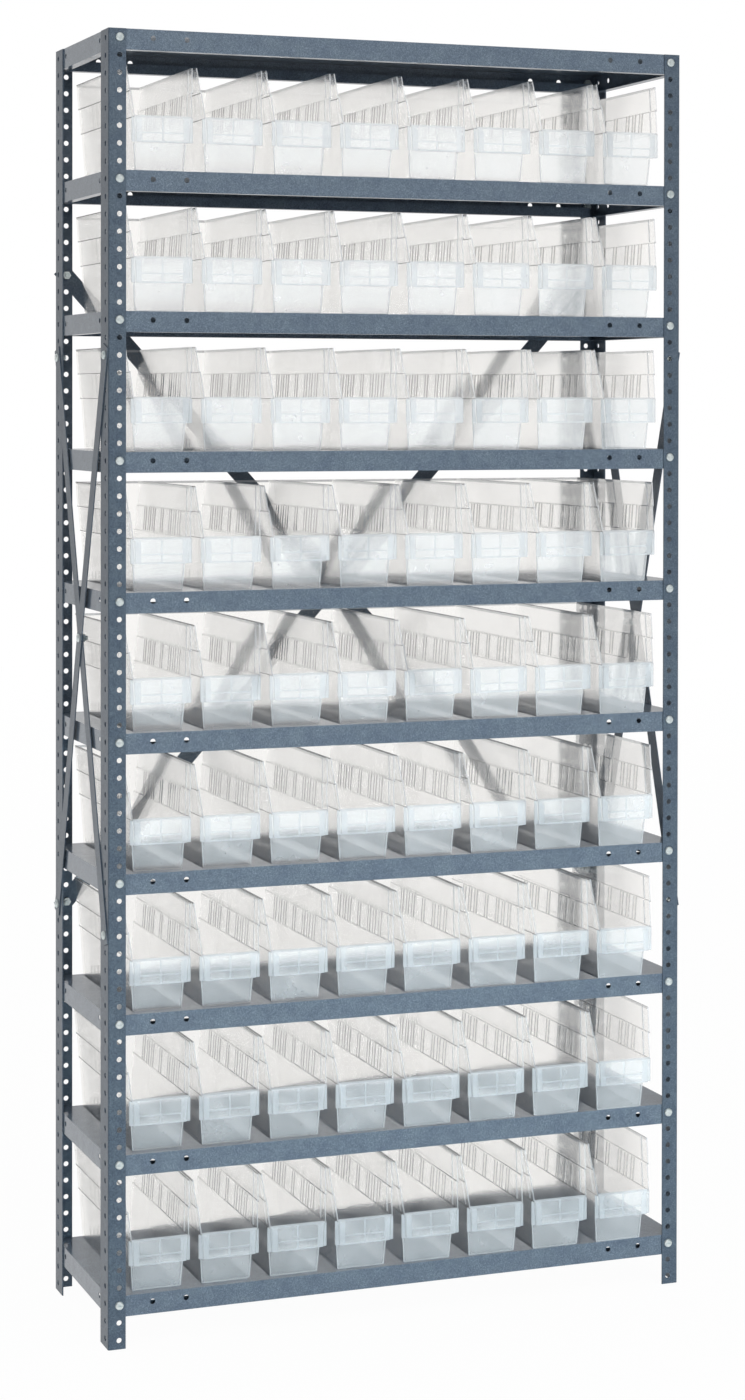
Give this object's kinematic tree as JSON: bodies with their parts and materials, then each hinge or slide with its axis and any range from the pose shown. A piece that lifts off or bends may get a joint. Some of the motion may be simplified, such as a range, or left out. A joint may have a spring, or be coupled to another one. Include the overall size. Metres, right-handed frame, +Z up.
{
  "type": "shelving unit with shelf bins",
  "caption": "Open steel shelving unit of punched angle posts, folded shelves and crossed braces, with rows of clear open-front shelf bins that draw out forwards.",
  "frame": {"origin": "on the floor, at the middle of the footprint of the four posts", "axes": "+Z up, -Y towards the open fronts of the bins, +X to the right of someone who faces them"},
  "size_m": [0.9272, 0.326, 1.905],
  "materials": {
    "enamelled_steel": "satin enamel with a fine speckle",
    "zinc_fasteners": "bright zinc plating",
    "clear_plastic": "clear, slightly milky moulded plastic"
  },
  "bodies": {
    "frame": {"brace_bolts": "zinc_fasteners", "brace_nuts": "zinc_fasteners", "left_strap_inner": "enamelled_steel", "left_strap_outer": "enamelled_steel", "post_front_left": "enamelled_steel", "post_front_right": "enamelled_steel", "post_rear_left": "enamelled_steel", "post_rear_right": "enamelled_steel", "rear_strap_inner": "enamelled_steel", "rear_strap_outer": "enamelled_steel", "right_strap_inner": "enamelled_steel", "right_strap_outer": "enamelled_steel", "shelf_01": "enamelled_steel", "shelf_02": "enamelled_steel", "shelf_03": "enamelled_steel", "shelf_04": "enamelled_steel", "shelf_05": "enamelled_steel", "shelf_06": "enamelled_steel", "shelf_07": "enamelled_steel", "shelf_08": "enamelled_steel", "shelf_09": "enamelled_steel", "shelf_10": "enamelled_steel", "shelf_bolts": "zinc_fasteners", "shelf_nuts": "zinc_fasteners"},
    "bins_row1_pair1": {"bins_row1_pair1": "clear_plastic"},
    "bins_row1_pair2": {"bins_row1_pair2": "clear_plastic"},
    "bins_row1_pair3": {"bins_row1_pair3": "clear_plastic"},
    "bins_row1_pair4": {"bins_row1_pair4": "clear_plastic"},
    "bins_row2_pair1": {"bins_row2_pair1": "clear_plastic"},
    "bins_row2_pair2": {"bins_row2_pair2": "clear_plastic"},
    "bins_row2_pair3": {"bins_row2_pair3": "clear_plastic"},
    "bins_row2_pair4": {"bins_row2_pair4": "clear_plastic"},
    "bins_row3_pair1": {"bins_row3_pair1": "clear_plastic"},
    "bins_row3_pair2": {"bins_row3_pair2": "clear_plastic"},
    "bins_row3_pair3": {"bins_row3_pair3": "clear_plastic"},
    "bins_row3_pair4": {"bins_row3_pair4": "clear_plastic"},
    "bins_row4_pair1": {"bins_row4_pair1": "clear_plastic"},
    "bins_row4_pair2": {"bins_row4_pair2": "clear_plastic"},
    "bins_row4_pair3": {"bins_row4_pair3": "clear_plastic"},
    "bins_row4_pair4": {"bins_row4_pair4": "clear_plastic"},
    "bins_row5_pair1": {"bins_row5_pair1": "clear_plastic"},
    "bins_row5_pair2": {"bins_row5_pair2": "clear_plastic"},
    "bins_row5_pair3": {"bins_row5_pair3": "clear_plastic"},
    "bins_row5_pair4": {"bins_row5_pair4": "clear_plastic"},
    "bins_row6_pair1": {"bins_row6_pair1": "clear_plastic"},
    "bins_row6_pair2": {"bins_row6_pair2": "clear_plastic"},
    "bins_row6_pair3": {"bins_row6_pair3": "clear_plastic"},
    "bins_row6_pair4": {"bins_row6_pair4": "clear_plastic"},
    "bins_row7_pair1": {"bins_row7_pair1": "clear_plastic"},
    "bins_row7_pair2": {"bins_row7_pair2": "clear_plastic"},
    "bins_row7_pair3": {"bins_row7_pair3": "clear_plastic"},
    "bins_row7_pair4": {"bins_row7_pair4": "clear_plastic"},
    "bins_row8_pair1": {"bins_row8_pair1": "clear_plastic"},
    "bins_row8_pair2": {"bins_row8_pair2": "clear_plastic"},
    "bins_row8_pair3": {"bins_row8_pair3": "clear_plastic"},
    "bins_row8_pair4": {"bins_row8_pair4": "clear_plastic"},
    "bins_row9_pair1": {"bins_row9_pair1": "clear_plastic"},
    "bins_row9_pair2": {"bins_row9_pair2": "clear_plastic"},
    "bins_row9_pair3": {"bins_row9_pair3": "clear_plastic"},
    "bins_row9_pair4": {"bins_row9_pair4": "clear_plastic"}
  },
  "joints": [
    {"name": "bins_row1_pair1_slide", "type": "slide", "parent": "frame", "child": "bins_row1_pair1", "axis": [0, -1, 0], "range_m": [0, 0.24]},
    {"name": "bins_row1_pair2_slide", "type": "slide", "parent": "frame", "child": "bins_row1_pair2", "axis": [0, -1, 0], "range_m": [0, 0.24]},
    {"name": "bins_row1_pair3_slide", "type": "slide", "parent": "frame", "child": "bins_row1_pair3", "axis": [0, -1, 0], "range_m": [0, 0.24]},
    {"name": "bins_row1_pair4_slide", "type": "slide", "parent": "frame", "child": "bins_row1_pair4", "axis": [0, -1, 0], "range_m": [0, 0.24]},
    {"name": "bins_row2_pair1_slide", "type": "slide", "parent": "frame", "child": "bins_row2_pair1", "axis": [0, -1, 0], "range_m": [0, 0.24]},
    {"name": "bins_row2_pair2_slide", "type": "slide", "parent": "frame", "child": "bins_row2_pair2", "axis": [0, -1, 0], "range_m": [0, 0.24]},
    {"name": "bins_row2_pair3_slide", "type": "slide", "parent": "frame", "child": "bins_row2_pair3", "axis": [0, -1, 0], "range_m": [0, 0.24]},
    {"name": "bins_row2_pair4_slide", "type": "slide", "parent": "frame", "child": "bins_row2_pair4", "axis": [0, -1, 0], "range_m": [0, 0.24]},
    {"name": "bins_row3_pair1_slide", "type": "slide", "parent": "frame", "child": "bins_row3_pair1", "axis": [0, -1, 0], "range_m": [0, 0.24]},
    {"name": "bins_row3_pair2_slide", "type": "slide", "parent": "frame", "child": "bins_row3_pair2", "axis": [0, -1, 0], "range_m": [0, 0.24]},
    {"name": "bins_row3_pair3_slide", "type": "slide", "parent": "frame", "child": "bins_row3_pair3", "axis": [0, -1, 0], "range_m": [0, 0.24]},
    {"name": "bins_row3_pair4_slide", "type": "slide", "parent": "frame", "child": "bins_row3_pair4", "axis": [0, -1, 0], "range_m": [0, 0.24]},
    {"name": "bins_row4_pair1_slide", "type": "slide", "parent": "frame", "child": "bins_row4_pair1", "axis": [0, -1, 0], "range_m": [0, 0.24]},
    {"name": "bins_row4_pair2_slide", "type": "slide", "parent": "frame", "child": "bins_row4_pair2", "axis": [0, -1, 0], "range_m": [0, 0.24]},
    {"name": "bins_row4_pair3_slide", "type": "slide", "parent": "frame", "child": "bins_row4_pair3", "axis": [0, -1, 0], "range_m": [0, 0.24]},
    {"name": "bins_row4_pair4_slide", "type": "slide", "parent": "frame", "child": "bins_row4_pair4", "axis": [0, -1, 0], "range_m": [0, 0.24]},
    {"name": "bins_row5_pair1_slide", "type": "slide", "parent": "frame", "child": "bins_row5_pair1", "axis": [0, -1, 0], "range_m": [0, 0.24]},
    {"name": "bins_row5_pair2_slide", "type": "slide", "parent": "frame", "child": "bins_row5_pair2", "axis": [0, -1, 0], "range_m": [0, 0.24]},
    {"name": "bins_row5_pair3_slide", "type": "slide", "parent": "frame", "child": "bins_row5_pair3", "axis": [0, -1, 0], "range_m": [0, 0.24]},
    {"name": "bins_row5_pair4_slide", "type": "slide", "parent": "frame", "child": "bins_row5_pair4", "axis": [0, -1, 0], "range_m": [0, 0.24]},
    {"name": "bins_row6_pair1_slide", "type": "slide", "parent": "frame", "child": "bins_row6_pair1", "axis": [0, -1, 0], "range_m": [0, 0.24]},
    {"name": "bins_row6_pair2_slide", "type": "slide", "parent": "frame", "child": "bins_row6_pair2", "axis": [0, -1, 0], "range_m": [0, 0.24]},
    {"name": "bins_row6_pair3_slide", "type": "slide", "parent": "frame", "child": "bins_row6_pair3", "axis": [0, -1, 0], "range_m": [0, 0.24]},
    {"name": "bins_row6_pair4_slide", "type": "slide", "parent": "frame", "child": "bins_row6_pair4", "axis": [0, -1, 0], "range_m": [0, 0.24]},
    {"name": "bins_row7_pair1_slide", "type": "slide", "parent": "frame", "child": "bins_row7_pair1", "axis": [0, -1, 0], "range_m": [0, 0.24]},
    {"name": "bins_row7_pair2_slide", "type": "slide", "parent": "frame", "child": "bins_row7_pair2", "axis": [0, -1, 0], "range_m": [0, 0.24]},
    {"name": "bins_row7_pair3_slide", "type": "slide", "parent": "frame", "child": "bins_row7_pair3", "axis": [0, -1, 0], "range_m": [0, 0.24]},
    {"name": "bins_row7_pair4_slide", "type": "slide", "parent": "frame", "child": "bins_row7_pair4", "axis": [0, -1, 0], "range_m": [0, 0.24]},
    {"name": "bins_row8_pair1_slide", "type": "slide", "parent": "frame", "child": "bins_row8_pair1", "axis": [0, -1, 0], "range_m": [0, 0.24]},
    {"name": "bins_row8_pair2_slide", "type": "slide", "parent": "frame", "child": "bins_row8_pair2", "axis": [0, -1, 0], "range_m": [0, 0.24]},
    {"name": "bins_row8_pair3_slide", "type": "slide", "parent": "frame", "child": "bins_row8_pair3", "axis": [0, -1, 0], "range_m": [0, 0.24]},
    {"name": "bins_row8_pair4_slide", "type": "slide", "parent": "frame", "child": "bins_row8_pair4", "axis": [0, -1, 0], "range_m": [0, 0.24]},
    {"name": "bins_row9_pair1_slide", "type": "slide", "parent": "frame", "child": "bins_row9_pair1", "axis": [0, -1, 0], "range_m": [0, 0.24]},
    {"name": "bins_row9_pair2_slide", "type": "slide", "parent": "frame", "child": "bins_row9_pair2", "axis": [0, -1, 0], "range_m": [0, 0.24]},
    {"name": "bins_row9_pair3_slide", "type": "slide", "parent": "frame", "child": "bins_row9_pair3", "axis": [0, -1, 0], "range_m": [0, 0.24]},
    {"name": "bins_row9_pair4_slide", "type": "slide", "parent": "frame", "child": "bins_row9_pair4", "axis": [0, -1, 0], "range_m": [0, 0.24]}
  ]
}
